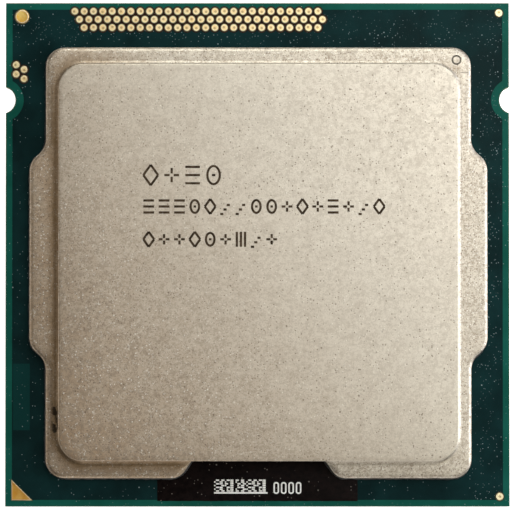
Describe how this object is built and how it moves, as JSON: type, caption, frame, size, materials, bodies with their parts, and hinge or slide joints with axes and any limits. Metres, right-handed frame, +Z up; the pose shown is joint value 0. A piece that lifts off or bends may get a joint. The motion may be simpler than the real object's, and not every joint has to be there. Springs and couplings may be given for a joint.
{
  "type": "desktop computer processor",
  "caption": "Square land-grid processor package: green laminated board with key notches, stepped nickel heat spreader with side ears, gold test pads, and contact lands with capacitors below.",
  "frame": {"origin": "centre of the square board, on the plane of its underside (the underside of the solder mask, which the land contacts are level with)", "axes": "+Z up through the heat spreader; +Y towards the board edge that the two key notches are nearer to and that the three rows of test pads run along; +X to the right seen from above, with the pin-one triangle at -X, -Y"},
  "size_m": [0.0376, 0.0376, 0.0048],
  "materials": {
    "laminate": "matte woven glass laminate",
    "copper": "satin copper",
    "solder_mask": "semi-gloss dark green",
    "gold": "satin gold plate",
    "solder": "satin tin",
    "ceramic": "matte fired ceramic",
    "underfill": "glossy epoxy",
    "silicon": "polished",
    "thermal_paste": "matte",
    "sealant": "matte",
    "nickel_plate": "satin nickel plate, handled",
    "black_ink": "satin",
    "white_print": "matte"
  },
  "bodies": {
    "root": {"substrate_core": "laminate", "core_vias": "copper", "copper_plane_top": "copper", "copper_plane_bottom": "copper", "buildup_layers_top": "laminate", "buildup_layers_bottom": "laminate", "solder_mask_top": "solder_mask", "solder_mask_bottom": "solder_mask", "contact_lands": "gold", "capacitor_pads": "gold", "capacitor_solder": "solder", "capacitor_terminals": "solder", "capacitor_bodies": "ceramic", "die_bumps": "solder", "die_underfill": "underfill", "silicon_die": "silicon", "thermal_paste": "thermal_paste", "sealant_bead": "sealant", "heat_spreader": "nickel_plate", "test_pads_top_edge": "gold", "test_pads_side": "gold", "large_round_pad": "gold", "alignment_pads": "gold", "pin_one_triangle": "gold", "marking_patch": "black_ink", "code_marks": "white_print"}
  },
  "joints": []
}
